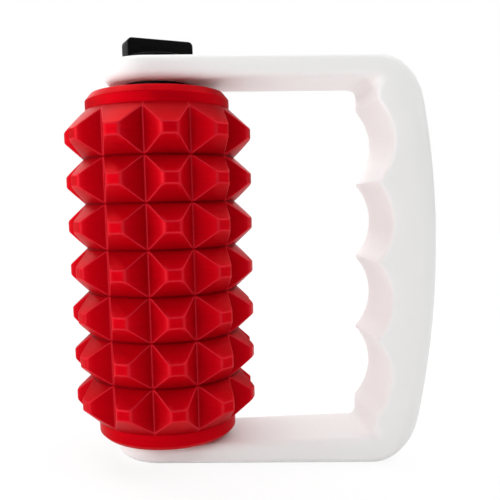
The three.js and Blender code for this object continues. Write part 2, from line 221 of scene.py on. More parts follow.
def addFloor():
    # a pale diffuse floor that the camera and gloss see mostly as white, with the shadow left near the object
    reach = studio["floorReach"]
    mesh = bpy.data.meshes.new("floor")
    corners = [(-reach, -reach, 0), (reach, -reach, 0), (reach, reach, 0), (-reach, reach, 0)]
    mesh.from_pydata(corners, [], [(0, 1, 2, 3)])
    floor = bpy.data.objects.new("floor", mesh)
    scene.collection.objects.link(floor)
    floor.location.z = cadBox[0].z - studio["floorDrop"]
    material = bpy.data.materials.new("paleFloor")
    material.use_nodes = True
    tree = material.node_tree
    tree.nodes.clear()
    diffuse = addNode(tree, "ShaderNodeBsdfDiffuse", {"Color": (studio["floor"],) * 3 + (1,)})
    white = addNode(tree, "ShaderNodeEmission", {"Strength": studio["floorGlow"]})
    place = addNode(tree, "ShaderNodeTexCoord", {})
    away = addNode(tree, "ShaderNodeVectorMath", {0: place.outputs["Object"]}, "LENGTH").outputs["Value"]
    plain = rangeNode(tree, away, 1 - studio["floorShade"], 1, *studio["shadeReach"], "SMOOTHSTEP")
    path = addNode(tree, "ShaderNodeLightPath", {})
    seen = mathNode(tree, "MAXIMUM", path.outputs["Is Camera Ray"], path.outputs["Is Glossy Ray"])
    seen = mathNode(tree, "MAXIMUM", seen, path.outputs["Is Transmission Ray"])
    showMixed(tree, mathNode(tree, "MULTIPLY", seen, plain), diffuse, white, "ShaderNodeOutputMaterial")
    mesh.materials.append(material)
    floor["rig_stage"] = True


for softbox in studio["boxes"]:
    addBox(*softbox)
addWorld()
addFloor()
print("camera and studio made")


# Mesh tools

meshSet = {
    "segments": 160,  # round the caps, washers, fittings and the knob's base
    "fewerSegments": 96,  # round the axle, its rings, the screw and every round cutter
    "steps": 5,  # of the arc at a rounded corner, unless a piece gives its own
    "sharp": 35,  # degrees between two faces, past which their edge is sharp, unless a piece gives its own
    "merge": 1e-6,  # metres, within which the border points of two patches are one
    "degenerate": 1e-7,  # metres, under which an edge is dissolved
    "cutterPast": 1,  # millimetres that a cutter stands out of the surface it cuts
}


def placed(points):
    # upright millimetres to metres in the frame: x becomes x cos - z sin, z becomes x sin + z cos of the lean
    x, y, z = np.moveaxis(np.asarray(points, float), -1, 0)
    c, s = math.cos(lean), math.sin(lean)
    return np.stack([x * c - z * s, y, x * s + z * c], -1) * metres


def gridQuads(rows, columns, wrap=True):
    # four corners of every cell between neighbouring rows and columns, the last column joined to the first
    r = np.arange(rows - 1)[:, None] * columns
    c = np.arange(columns if wrap else columns - 1)[None, :]
    n = (c + 1) % columns
    return np.stack([r + c, r + n, r + columns + n, r + columns + c], -1).reshape(-1, 4)


def makePiece(name, patches, node, sharp=meshSet["sharp"]):
    # patches are (points in upright millimetres, faces) whose shared borders are merged into one closed skin,
    # and a third entry holds two numbers for each point: how much painted highlight (1, on ridges, tip edges
    # and column grooves) or painted shade (-1, between the rows) it carries, and its height on a stud, from 0
    # in the grooves to 1 on the tip
    points, faces, marks, start = [], [], [], 0
    for patchPoints, patchFaces, *patchMarks in patches:
        flat = np.asarray(patchPoints, float).reshape(-1, 3)
        points.append(flat)
        faces.append(np.asarray(patchFaces) + start)
        marks.append(np.reshape(patchMarks[0], (2, -1)) if patchMarks else np.zeros((2, len(flat))))
        start += len(flat)
    mesh = bpy.data.meshes.new(name)
    mesh.from_pydata(placed(np.concatenate(points)).tolist(), [], np.concatenate(faces).tolist())
    if len(patches[0]) > 2:
        for mark, values in zip(("paintedLight", "rise"), np.concatenate(marks, 1).astype(np.float32)):
            mesh.attributes.new(mark, "FLOAT", "POINT").data.foreach_set("value", values)
    skin = bmesh.new()
    skin.from_mesh(mesh)
    bmesh.ops.remove_doubles(skin, verts=skin.verts, dist=meshSet["merge"])
    bmesh.ops.dissolve_degenerate(skin, edges=skin.edges, dist=meshSet["degenerate"])
    bmesh.ops.recalc_face_normals(skin, faces=skin.faces)
    skin.to_mesh(mesh)
    skin.free()
    piece = bpy.data.objects.new(name, mesh)
    scene.collection.objects.link(piece)
    finishPiece(piece, node, sharp)
    return piece


def finishPiece(piece, node, sharp):
    # a cutter, and a piece that is still to be cut, has no node yet
    piece.data.shade_smooth()
    piece.data.set_sharp_from_angle(angle=math.radians(sharp))
    if node:
        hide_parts(node)
        body = next(b for b, members in frame["record"]["behaviour"]["bodies"].items() if node in members)
        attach(piece, body)
        slot = next(s["material_slot"] for s in frame["record"]["subparts"] if s["node"] == node)
        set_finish(piece, slot)
        print(piece.name, len(piece.data.polygons), "faces on", body)


def cut(piece, cutter, operation="DIFFERENCE"):
    # the piece less the cutter, or joined with it, and the cutter goes
    modifier = piece.modifiers.new("cut", "BOOLEAN")
    modifier.operation = operation
    modifier.solver = "EXACT"
    modifier.object = cutter
    evaluated = piece.evaluated_get(bpy.context.evaluated_depsgraph_get())
    mesh = bpy.data.meshes.new_from_object(evaluated)
    piece.modifiers.clear()
    piece.data = mesh
    bpy.data.objects.remove(cutter)


def filleted(corners, closed, steps):
    # each corner is (x, y, radius): an arc of that radius tangent to its two sides, or the bare point at zero
    found = []
    for i, (x, y, radius) in enumerate(corners):
        here = np.array([x, y], float)
        if radius == 0 or (not closed and i in (0, len(corners) - 1)):
            found.append(here[None])
            continue
        before = np.array(corners[i - 1][:2]) - here
        after = np.array(corners[(i + 1) % len(corners)][:2]) - here
        before /= np.linalg.norm(before)
        after /= np.linalg.norm(after)
        half = math.acos(np.clip(before @ after, -1, 1)) / 2
        middle = (before + after) / np.linalg.norm(before + after) * radius / math.sin(half)
        reach = radius / math.tan(half)
        start, end = before * reach - middle, after * reach - middle
        angle = math.pi - 2 * half
        t = np.linspace(0, 1, steps + 1)[:, None]
        arc = (np.sin((1 - t) * angle) * start + np.sin(t * angle) * end) / math.sin(angle)
        found.append(here + middle + arc)
    return np.concatenate(found)


def turnedPatch(profile, segments=meshSet["fewerSegments"]):
    # (radius, height) pairs carried round the axis: x = radius cos, y = radius sin, z = height
    profile = np.asarray(profile, float)
    angle = 2 * math.pi * np.arange(segments) / segments
    radius, height = profile[:, 0:1], profile[:, 1:2]
    rings = np.stack([radius * np.cos(angle), radius * np.sin(angle), height + 0 * angle], -1)
    return rings, gridQuads(len(profile), segments)


def turnedPiece(name, node, corners, segments=meshSet["segments"], steps=meshSet["steps"]):
    # a profile that starts off the axis is closed on itself
    closed = corners[0][0] > 0
    profile = filleted(corners, closed, steps)
    if closed:
        profile = np.vstack([profile, profile[:1]])
    makePiece(name, [turnedPatch(profile, segments)], node)


# Sizes that several pieces share, in millimetres

sizes = {
    "pressGap": 0.1,  # round a pressed piece, and between faces that rest on each other
    "runningGap": 0.2,  # round a shaft that turns or slides
    "faceGap": 0.3,  # between faces that slide past each other
    "endPlay": 0.8,
    "axle": 4,  # radius
    "capHeight": 5.2,
    "fittingFlange": 1.1,
    "washer": 0.5,
    "topArm": 7.2,
    "bottomArm": 6.1,  # at the roller's axis
    "armFloor": 1.4,  # left under the socket in the bottom arm
}

sleeveSet = {
    "rows": 7,
    "pitch": 14,
    "columns": 11,
    "valley": 24.2,
    "tip": 30,
    "tipWidth": 5,
    "tipHeight": 3.3,
    "end": 23,  # radius of the end faces
    "bore": 17.1,
    "turn": 8,  # degrees of one column from -Y towards +X
    "tipRound": 2.1,  # of the tips' upright edges
    "grooveRound": 0.45,
    "ringRound": 0.15,
    "edgeRound": 0.06,
    "ridgeBlend": 0.4,  # how softly two faces of a stud meet
    "ridgeHighlightWidth": 0.27,  # of the painted highlight along the ridges
    "grooveWidth": 0.35,  # of the painted shade line between the rows, measured on the radius
    "grooveShadeShare": 1.5,
    "endMargin": 1,  # near the sleeve's ends, where there is no painted shade line
    "tipHighlightWidth": 0.5,  # and of the painted highlights on the tips' upright edges and in the column grooves
    "tipHighlightShare": 0.7,
    "tipFade": (0.9, 0.3),  # below the tip's radius, where a tip edge's painted highlight starts and is full
    "grooveHighlightWidth": 0.22,
    "grooveHighlightShare": 0.9,
    "sharp": 50,
    # the grid of points: distances in millimetres, close together near the ridges
    "sideNear": (0, 0.1, 0.22, 0.36, 0.55),  # from both ends of a loop's side
    "sideSteps": 6,  # between them
    "sideFull": 3,  # length of a side, under which those distances shrink
    "valleyNear": (0, 0.12, 0.26, 0.42, 0.65, 1),  # down a flank, from the border groove
    "tipNear": (0, 0.2, 0.4, 0.6, 0.85),  # and from the tip's edge
    "flankSteps": 4,  # between them
    "tipLoops": (0.93, 0.86, 0.78, 0.67, 0.45, 0),  # sizes of the loops on the tip
    "starSteps": 16,  # of an arc in the outline round the sleeve
    "starSamples": 9000,
    "ringSteps": 12,
}

ringSlope = (sleeveSet["tip"] - sleeveSet["valley"]) / ((sleeveSet["pitch"] - sleeveSet["tipHeight"]) / 2)
rowsHalf = sleeveSet["rows"] * sleeveSet["pitch"] / 2
sleeveHalf = rowsHalf + (sleeveSet["valley"] - sleeveSet["end"]) / ringSlope
flangeStack = sizes["fittingFlange"] + 2 * sizes["pressGap"]
fittingStack = flangeStack + sizes["washer"] + sizes["faceGap"]
rollerHeight = 2 * (sleeveHalf + sizes["capHeight"])
handGap = 2 * fittingStack + rollerHeight + sizes["endPlay"]
rollerFoot = sizes["bottomArm"] + fittingStack
rollerTop = rollerFoot + rollerHeight
rollerMiddle = (rollerFoot + rollerTop) / 2
topArmUnderside = sizes["bottomArm"] + handGap
handleTop = topArmUnderside + sizes["topArm"]
knobFoot = handleTop + sizes["faceGap"]


# Handle: a rounded section carried from one arm's end round the grip to the other

handleSet = {
    "width": 28,
    "endReach": 16.6,  # from the roller's axis to the arms' free ends
    "edgeRound": 2.5,
    "front": 68.4,  # from the roller's axis to the ridges between the fingers
    "thickness": 21.8,
    "bow": 272,  # radius of the grip's back
    "backRound": 8,
    "frontRound": 1.2,
    "corner": 17,
    "innerFillet": 4.5,
    "cornerBulge": 2.7,  # by which the rounded edge widens inside the corners
    "fingers": 4,
    "fingerDepth": 5.1,
    "land": 2.5,  # flat part between the corner's fillet and the first groove
    "ridgeBlend": 0.8,  # how softly two finger grooves meet
    "bore": 7.1,
    "boreChamfer": 0.25,
    "roundSteps": 10,
    "flatSteps": 4,  # over half of a flat face
    "cornerSteps": 28,
    "gripSteps": 110,
    "endSteps": 40,
}


def smoothMax(a, b, blend):
    # the larger of two, raised where they are close by the square of what is left of the blend
    return np.maximum(a, b) + np.maximum(blend - np.abs(a - b), 0) ** 2 / (4 * blend)


def outerCorner(v, thickness, slope):
    # middle of the outer corner's round, which touches the arm's sloping face and the bowed back from inside:
    # it lies one corner radius in from the face, and at the bow's radius less the corner's from the middle
    # of the bow, so x is the larger root of a quadratic. The angle there from the bow's middle comes last
    bowX, toCorner = v["front"] + v["thickness"] - v["bow"], v["bow"] - v["corner"]
    steep = math.hypot(1, slope)
    insideFace = handGap / 2 + thickness - v["corner"] * steep
    along = bowX - slope * insideFace
    offBow = bowX**2 + insideFace**2 - toCorner**2
    x = (along + math.sqrt(along**2 - steep**2 * offBow)) / steep**2
    z = insideFace + slope * x
    return bowX, x, z, math.asin(z / toCorner)


def handleHalf(v, thickness, slope):
    # inner and outer points (x, height from mid grip) and the two rounds, from the arm to mid grip
    armInner = handGap / 2
    filletX, filletZ = v["front"] - v["innerFillet"], armInner - v["innerFillet"]
    bowX, cornerX, cornerZ, bowAngle = outerCorner(v, thickness, slope)
    bowTop = v["bow"] * math.sin(bowAngle)

    # the corner: the inner arc turns a quarter, the outer one up to the bow, and the blend is a smooth step
    share = np.linspace(0, 1, v["cornerSteps"] + 1)
    turn = (1 - share) * math.pi / 2
    lift = (1 - share) * (math.pi / 2 + math.atan(slope)) + share * bowAngle
    blend = share**2 * (3 - 2 * share)
    fillet, corner = v["innerFillet"], v["corner"]
    cornerIn = np.stack([filletX + fillet * np.cos(turn), filletZ + fillet * np.sin(turn)], -1)
    cornerOut = np.stack([cornerX + corner * np.cos(lift), cornerZ + corner * np.sin(lift)], -1)

    # the grip: a circle's arc for each finger groove, and the bow behind
    top = filletZ - v["land"]
    pitch = 2 * top / v["fingers"]
    radius = (pitch**2 / 4 + v["fingerDepth"] ** 2) / (2 * v["fingerDepth"])
    height = np.linspace(filletZ, 0, v["gripSteps"] + 1)[1:]
    x = np.full_like(height, v["front"])
    for finger in range(v["fingers"]):
        off = height - top + (finger + 0.5) * pitch
        groove = v["front"] + v["fingerDepth"] - radius + np.sqrt(np.maximum(radius**2 - off**2, 0))
        x = smoothMax(x, groove, v["ridgeBlend"])
    outHeight = height * bowTop / filletZ
    gripOut = np.stack([bowX + np.sqrt(v["bow"] ** 2 - outHeight**2), outHeight], -1)

    armStart = v["width"] / 2 - v["endReach"]
    inner = np.vstack([[[armStart, armInner]], cornerIn, np.stack([x, height], -1)])
    outer = np.vstack([[[armStart, armInner + thickness + slope * armStart]], cornerOut, gripOut])
    bulge = np.concatenate([[0], np.sin(share * math.pi) ** 2, 0 * height]) * v["cornerBulge"]
    blend = np.concatenate([[0], blend, np.ones(len(height))])
    innerRound = v["edgeRound"] + (v["frontRound"] - v["edgeRound"]) * blend + bulge
    outerRound = v["edgeRound"] + (v["backRound"] - v["edgeRound"]) * blend
    return inner, outer, innerRound, outerRound


def sectionSide(v, depth, innerRound, outerRound):
    # from the inner face's middle round one side to the outer face's: distances outwards and sideways, along
    # a straight face, a quarter circle, the flat side, a quarter circle and a straight face
    side, quarter = v["width"] / 2, np.linspace(0, math.pi / 2, v["roundSteps"] + 1)
    flat = np.linspace(0, 1, v["flatSteps"] + 1)[:-1]
    innerRound, outerRound, depth = (np.asarray(a, float)[..., None] for a in (innerRound, outerRound, depth))
    out = [0 * innerRound * flat, innerRound * (1 - np.cos(quarter))]
    across = [(side - innerRound) * flat, side - innerRound * (1 - np.sin(quarter))]
    out += [depth - outerRound * (1 - np.sin(quarter)), depth + 0 * outerRound * flat]
    across += [side - outerRound * (1 - np.cos(quarter)), (side - outerRound) * flat[::-1]]
    return np.concatenate(out, -1), np.concatenate(across, -1)


def handleLoops(v, inner, outer, innerRound, outerRound):
    # a section at every pair of inner and outer points, in the plane through them and the sideways direction
    depth = np.linalg.norm(outer - inner, axis=-1)
    ahead = (outer - inner) / depth[:, None]
    out, across = sectionSide(v, depth, innerRound, outerRound)
    x = inner[:, 0:1] + ahead[:, 0:1] * out
    z = inner[:, 1:2] + ahead[:, 1:2] * out
    right = np.stack([x, across, z], -1)
    left = np.stack([x, -across, z], -1)[:, ::-1]
    return np.concatenate([right, left], 1)


def armEnd(v, thickness, slope):
    # the arm's section carried half a turn round its free end, heights stretched along X with the slope
    middle = v["width"] / 2 - v["endReach"]
    height = thickness + slope * middle
    out, across = sectionSide(v, height, v["edgeRound"], v["edgeRound"])
    angle = np.linspace(math.pi / 2, 3 * math.pi / 2, v["endSteps"] + 1)
    x = across[:, None] * np.cos(angle)
    y = across[:, None] * np.sin(angle)
    z = handGap / 2 + out[:, None] * (1 + slope * x / height)
    points = np.stack([middle + x, y, z], -1)
    return points, gridQuads(points.shape[0], points.shape[1], False)


def makeHandle(v):
    slope = math.tan(lean)
    upper = handleHalf(v, sizes["topArm"], 0)
    lower = handleHalf(v, sizes["bottomArm"], slope)
    flip, lift = np.array([1, 1, -1]), np.array([0, 0, sizes["bottomArm"] + handGap / 2])
    loops = np.concatenate([handleLoops(v, *upper), handleLoops(v, *lower)[-2::-1] * flip]) + lift
    topEnd, endFaces = armEnd(v, sizes["topArm"], 0)
    lowEnd, lowFaces = armEnd(v, sizes["bottomArm"], slope)
    skin = [(loops, gridQuads(loops.shape[0], loops.shape[1]))]
    skin += [(topEnd + lift, endFaces), (lowEnd * flip + lift, lowFaces)]
    handle = makePiece("handleFrame", skin, None)

    bore, chamfer, past = v["bore"], v["boreChamfer"], meshSet["cutterPast"]
    low, high = topArmUnderside - past, sizes["bottomArm"] + past
    topBore = [[0, low], [bore, low], [bore, handleTop - chamfer]]
    topBore += [[bore + 2 * chamfer, handleTop + chamfer], [0, handleTop + chamfer]]
    pocket = [[0, sizes["armFloor"]], [bore, sizes["armFloor"]], [bore, high], [0, high]]
    for name, profile in (("topBore", topBore), ("pocket", pocket)):
        cut(handle, makePiece(name, [turnedPatch(profile)], None))
    finishPiece(handle, "handle_frame", meshSet["sharp"])


makeHandle(handleSet)


# Massage sleeve: every stud is a set of loops from its border grooves up to the middle of its tip


def starRadius(v, angle):
    # radius of the outline round the sleeve at an angle from a column's middle: straight flanks between flat
    # tips and grooves, with both rounded, read off a finely sampled polygon
    half = math.pi / v["columns"]
    edge = math.atan(v["tipWidth"] / 2 / v["tip"])
    reach = math.hypot(v["tip"], v["tipWidth"] / 2)
    corners = []
    for column in range(v["columns"]):
        for distance, offset, rounding in (
            (v["valley"], -half, v["grooveRound"]),
            (reach, -edge, v["tipRound"]),
            (reach, edge, v["tipRound"]),
        ):
            turn = 2 * half * column + offset
            corners.append([distance * math.cos(turn), distance * math.sin(turn), rounding])
    outline = filleted(corners, True, v["starSteps"])
    outline = np.vstack([outline, outline[:1]])
    step = np.concatenate([[0], np.cumsum(np.linalg.norm(np.diff(outline, axis=0), axis=1))])
    fine = np.linspace(0, step[-1], v["starSamples"])
    x, y = (np.interp(fine, step, outline[:, k]) for k in (0, 1))
    turn = np.mod(np.arctan2(y, x), 2 * math.pi)
    order = np.argsort(turn)
    return np.interp(np.mod(angle, 2 * math.pi), turn[order], np.hypot(x, y)[order], period=2 * math.pi)


def ringRadius(v, z):
    # radius of the rings, which rise and fall with one slope from groove to groove, with rounded grooves
    ridge = v["valley"] + ringSlope * v["pitch"] / 2
    corners = [[-sleeveHalf, v["end"], 0]]
    for row in range(v["rows"]):
        foot = row * v["pitch"] - rowsHalf
        if row > 0:
            corners.append([foot, v["valley"], v["ringRound"]])
        corners.append([foot + v["pitch"] / 2, ridge, 0])
    corners.append([sleeveHalf, v["end"], 0])
    profile = filleted(corners, False, v["ringSteps"])
    return np.interp(z, profile[:, 0], profile[:, 1])


def sidePlaces(v, length):
    # places along a loop's side, close together near its two ends, where the stud's ridges run
    near = np.array(v["sideNear"])
    inner = np.linspace(0, 1, v["sideSteps"])[1:-1]
    fixed = np.concatenate([near, near[-1] * (1 - 2 * inner), -near[::-1]])
    moving = np.concatenate([0 * near, inner, 0 * near + 1])
    shrink = np.minimum(1, length / v["sideFull"])
    return fixed * shrink + moving * length


def line(distance, width):
    # 1 on a line, fading with the square of the distance from it
    return np.exp(-((distance / width) ** 2))


def sleeveSurface(v, angle, z):
    # the lower of star and ring, rounded where they cross, and two marks on it: lines of painted highlight along
    # ridges, tips' upright edges and column grooves and of painted shade between rows, and the height on the stud
    star, ring = starRadius(v, angle), ringRadius(v, z)
    # painted highlight along the ridges
    ridge = line(star - ring, v["ridgeHighlightWidth"])
    half, edge = math.pi / v["columns"], math.atan(v["tipWidth"] / 2 / v["tip"])
    offset = np.abs(np.mod(angle + half, 2 * half) - half)
    fadeStart, fadeFull = v["tipFade"]
    onTip = np.clip((np.minimum(star, ring) - v["tip"] + fadeStart) / (fadeStart - fadeFull), 0, 1)
    # painted highlight on the tips' upright edges
    tipHighlight = line((offset - edge) * star, v["tipHighlightWidth"]) * onTip * v["tipHighlightShare"]
    # painted highlight down each column groove
    grooveHighlight = line((half - offset) * star, v["grooveHighlightWidth"]) * v["grooveHighlightShare"]
    # painted shade in the grooves between the rows
    groove = line(ring - v["valley"], v["grooveWidth"]) * (np.abs(z) < rowsHalf - v["endMargin"])
    lines = np.maximum(np.maximum(ridge, tipHighlight), grooveHighlight) - v["grooveShadeShare"] * groove
    reach = -smoothMax(-star, -ring, v["ridgeBlend"])
    rise = np.clip((reach - v["valley"]) / (v["tip"] - v["valley"]), 0, 1)
    return reach, np.stack([np.clip(lines, -1, 1), rise])


def turnedSleeve(v, reach, angle, z):
    # points at a radius, at an angle from the middle of the front column, and at a height from mid roller
    turn = angle + math.radians(v["turn"]) - math.pi / 2
    return np.stack([reach * np.cos(turn), reach * np.sin(turn), z + rollerMiddle], -1)


def makeSleeve(v):
    # half widths and half heights of the loops, down the flank's straight line and then inwards on the tip
    half = math.pi / v["columns"]
    tipCorner = np.array([v["tip"], v["tipWidth"] / 2])
    groove = v["valley"] * np.array([math.cos(half), math.sin(half)])
    flank = np.linalg.norm(groove - tipCorner)
    valleyNear, tipNear, inside = (np.array(v[key]) for key in ("valleyNear", "tipNear", "tipLoops"))
    between = np.linspace(tipNear[-1], flank - valleyNear[-1], v["flankSteps"] + 1)[1:-1]
    down = np.concatenate([tipNear, between, flank - valleyNear[::-1]])[::-1] / flank
    border = tipCorner + down[:, None] * (groove - tipCorner)
    radius = np.linalg.norm(border, axis=1)
    tall = v["pitch"] / 2 - (radius - v["valley"]) / ringSlope
    wide = np.arctan2(border[:, 1], border[:, 0])
    wide = np.concatenate([wide, np.arctan(inside * v["tipWidth"] / 2 / v["tip"])])[:, None]
    radius = np.concatenate([radius, np.full(len(inside), float(v["tip"]))])[:, None]
    tall = np.concatenate([tall, inside * tall[-1]])[:, None]
    flat = sidePlaces(v, 2 * wide * radius)[:, :-1] / radius - wide
    rise = sidePlaces(v, 2 * tall)[:, :-1] - tall
    angle = np.concatenate([flat, wide + 0 * rise, -flat, -wide + 0 * rise], 1)
    height = np.concatenate([-tall + 0 * flat, rise, tall + 0 * flat, -rise], 1)

    # the same loops in every column and row
    columns = (2 * half * np.arange(v["columns"]))[None, :, None, None]
    rows = ((np.arange(v["rows"]) + 0.5) * v["pitch"] - rowsHalf)[:, None, None, None]
    size = (-1, *angle.shape)
    angle, height = (angle + columns + 0 * rows).reshape(size), (height + rows + 0 * columns).reshape(size)
    reach, marks = sleeveSurface(v, angle, height)
    studs = turnedSleeve(v, reach, angle, height)
    quads = gridQuads(*studs.shape[1:3])
    count = studs.shape[1] * studs.shape[2]
    faces = (quads[None] + (np.arange(len(studs)) * count)[:, None, None]).reshape(-1, 4)

    # the rest of the skin: from the top row's border over the end face and down the bore, and the same below,
    # as (height, radius) where no radius means the studs' own
    around = (columns.reshape(-1, 1) + flat[0]).ravel()
    lip = v["edgeRound"]
    cornerIn = lip * 0.3  # of a quarter circle's middle, from both faces
    rings = [(rowsHalf, None), (sleeveHalf - 2 * lip, None), (sleeveHalf - lip, None)]
    rings += [(sleeveHalf - cornerIn, v["end"] - cornerIn), (sleeveHalf, v["end"] - lip)]
    rings += [(sleeveHalf, v["bore"])]
    rings += [(-z, r) for z, r in rings[::-1]]
    shell, shellMarks = [], []
    for z, r in rings:
        reach, ringMarks = sleeveSurface(v, around, 0 * around + z)
        if r is not None:
            reach, ringMarks = 0 * around + r, 0 * ringMarks
        shellMarks.append(ringMarks)
        shell.append(turnedSleeve(v, reach, around, 0 * around + z))
    shell = np.stack(shell)
    patches = [(studs, faces, marks), (shell, gridQuads(*shell.shape[:2]), np.stack(shellMarks, 1))]
    makePiece("massageSleeve", patches, "roller_sleeve", v["sharp"])


makeSleeve(sleeveSet)


# Round pieces: each is a list of (radius, height, rounding) corners turned about the roller's axis

roundSet = {
    "capRadius": 23,
    "topCapChamfer": (2.2, 1.8),  # its height, and by how much it narrows the cap
    "bottomCapChamfer": (1.4, 1.4),
    "capSpigot": 14.4,
    "capSpigotWall": 2.4,
    "capSpigotDepth": 8,
    "capHub": 9,
    "capSeamRound": 0.06,  # at the sleeve
    "capSideRound": 0.5,  # at the chamfer's foot
    "capFaceRound": 0.4,  # and at its top
    "bushRadius": 6.5,
    "bushFlange": 8.5,
    "bushFlangeThickness": 1,
    "fittingRadius": 7,
    "fittingFlangeRadius": 10.3,
    "fittingRecess": 0.2,
    "fittingFlangeRound": 0.25,
    "socketFloor": 1,
    "socketRound": 0.4,  # at its floor
    "washerRadius": 9.5,
    "washerBoreRound": 0.1,
    "washerRound": 0.12,
    "washerSteps": 3,
    "knobWasherRadius": 6.5,
    "knobWasher": 0.4,
    "edgeRound": 0.2,  # of every other edge
    "leadRound": 0.3,  # of bores' mouths, inner corners and ends that are pushed in
}


def capCorners(v, chamfer, inset):
    # heights from the cap's outer face, down to its spigot inside the roller's core
    inside = -sizes["capHeight"]
    deep = inside - v["capSpigotDepth"]
    spigot, inner = v["capSpigot"], v["capSpigot"] - v["capSpigotWall"]
    bore, seat = v["bushRadius"] + sizes["pressGap"], -v["bushFlangeThickness"] - sizes["pressGap"]
    flange, side = v["bushFlange"] + sizes["pressGap"], v["capRadius"]
    edge, lead = v["edgeRound"], v["leadRound"]
    return [
        [bore, deep, edge], [v["capHub"], deep, edge], [v["capHub"], inside, lead], [inner, inside, lead],
        [inner, deep, edge], [spigot, deep, edge], [spigot, inside, 0], [side, inside, v["capSeamRound"]],
        [side, -chamfer, v["capSideRound"]], [side - inset, 0, v["capFaceRound"]],
        [flange, 0, edge], [flange, seat, 0], [bore, seat, 0],
    ]


def raised(corners, height, upward=1):
    return [[radius, height + upward * z, rounding] for radius, z, rounding in corners]


def makeRoundPieces(v):
    axleBore = sizes["axle"] + sizes["runningGap"]
    body, flange = v["fittingRadius"], v["fittingFlangeRadius"]
    edge, lead, flangeRound = v["edgeRound"], v["leadRound"], v["fittingFlangeRound"]
    topCap, bottomCap = capCorners(v, *v["topCapChamfer"]), capCorners(v, *v["bottomCapChamfer"])
    turnedPiece("topEndCap", "top_end_cap", raised(topCap, rollerTop))
    turnedPiece("bottomEndCap", "bottom_end_cap", raised(bottomCap, rollerFoot, -1))

    high = topArmUnderside - sizes["pressGap"]
    low = high - sizes["fittingFlange"]
    end = handleTop - v["fittingRecess"]
    turnedPiece("topArmBush", "top_arm_bush", [
        [axleBore, low, edge], [flange, low, flangeRound], [flange, high, edge],
        [body, high, 0], [body, end, edge], [axleBore, end, lead],
    ])
    foot, seat = sizes["armFloor"] + sizes["pressGap"], sizes["bottomArm"] + sizes["pressGap"]
    lip, floor = seat + sizes["fittingFlange"], foot + v["socketFloor"]
    turnedPiece("bottomArmSocket", "bottom_arm_socket", [
        [0, foot, 0], [body, foot, lead], [body, seat, 0], [flange, seat, edge], [flange, lip, flangeRound],
        [axleBore, lip, lead], [axleBore, floor, v["socketRound"]], [0, floor, 0],
    ])
    low, high = sizes["bottomArm"] + flangeStack, rollerTop + sizes["pressGap"]
    bored, rim = v["washerBoreRound"], v["washerRound"]
    for name, node, foot, radius, thickness in (
        ("bottomThrustWasher", "bottom_thrust_washer", low, v["washerRadius"], sizes["washer"]),
        ("topThrustWasher", "top_thrust_washer", high, v["washerRadius"], sizes["washer"]),
        ("knobWasher", "knob_washer", end + sizes["pressGap"], v["knobWasherRadius"], v["knobWasher"]),
    ):
        top = foot + thickness
        turnedPiece(name, node, [
            [axleBore, foot, bored], [radius, foot, rim], [radius, top, rim], [axleBore, top, bored],
        ], steps=v["washerSteps"])


makeRoundPieces(roundSet)


# Axle with its two ring grooves, and the rubber rings in them

axleSet = {
    "tipChamfer": 0.8,
    "tipGap": 0.3,
    "tipRound": 0.3,
    "grooveRadius": 2.75,
    "grooveWidth": 1.5,
    "grooveRound": 0.15,  # at a groove's floor
    "grooveEdgeRound": 0.1,
    "endRound": 0.2,
    "cord": 0.65,  # radius of a ring's section
    "cordSteps": 24,
    "cordSharp": 60,
    "web": 2.2,  # the knob's material over the axle's end
    "spigot": 2.4,  # radius of the thinner end that the knob sits on
    "holeRadius": 1.6,
    "holeDepth": 5.4,
    "steps": 4,
}

knobWasherFoot = handleTop - roundSet["fittingRecess"] + sizes["pressGap"]
knobRecessTop = knobWasherFoot + roundSet["knobWasher"] + sizes["faceGap"]


def makeAxle(v, knobTop):
    radius = sizes["axle"]
    tip = sizes["armFloor"] + sizes["pressGap"] + roundSet["socketFloor"] + v["tipGap"]
    end = knobTop - v["web"] - sizes["pressGap"]
    shoulder = knobRecessTop - sizes["pressGap"]
    rings = (sizes["bottomArm"] - v["grooveWidth"], handleTop - sizes["topArm"] / 2)
    corners = [[0, tip, 0], [radius - v["tipChamfer"], tip, v["tipRound"]]]
    corners += [[radius, tip + v["tipChamfer"], v["tipRound"]]]
    for ring in rings:
        low, high = ring - v["grooveWidth"] / 2, ring + v["grooveWidth"] / 2
        corners += [[radius, low, v["grooveEdgeRound"]], [v["grooveRadius"], low, v["grooveRound"]]]
        corners += [[v["grooveRadius"], high, v["grooveRound"]], [radius, high, v["grooveEdgeRound"]]]
    corners += [[radius, shoulder, v["endRound"]], [v["spigot"], shoulder, 0]]
    corners += [[v["spigot"], end, v["endRound"]], [v["holeRadius"], end, 0]]
    corners += [[v["holeRadius"], end - v["holeDepth"], 0], [0, end - v["holeDepth"], 0]]
    turnedPiece("pullAxle", "axle", corners, meshSet["fewerSegments"], v["steps"])

    # a ring's circle stands three quarters of the running gap past the axle
    middle = radius + sizes["runningGap"] * 3 / 4 - v["cord"]
    around = np.linspace(0, 2 * math.pi, v["cordSteps"] + 1)
    for name, node, ring in zip(("lowerORing", "upperORing"), ("lower_o_ring", "upper_o_ring"), rings):
        circle = np.stack([middle + v["cord"] * np.cos(around), ring + v["cord"] * np.sin(around)], -1)
        makePiece(name, [turnedPatch(circle)], node, v["cordSharp"])


# Knob: a thin round base with a rounded bar across it, and the countersunk screw through it

knobSet = {
    "radius": 10.4,
    "base": 0.95,
    "baseRound": 0.4,
    "baseSteps": 6,
    "length": 21.6,
    "offset": 0.7,  # the bar's middle past the axle
    "width": 7,
    "height": 5.35,  # of the bar above the base
    "corner": 1.5,
    "cornerSteps": 8,
    "edge": 0.4,
    "edgeSteps": 6,
    "footCorner": 0.5,  # more than the edge
    "turn": 20,  # degrees from +X towards +Y
    "sharp": 30,
    "screwRadius": 1.5,
    "screwHead": 2.8,
    "screwHeadHeight": 1.6,
    "screwEdge": 0.12,
    "screwLength": 9,
    "screwHoleFoot": 0.5,  # above the knob's foot, inside its recess
    "hexRadius": 1.15,  # to the corners
    "hexDepth": 1,
}


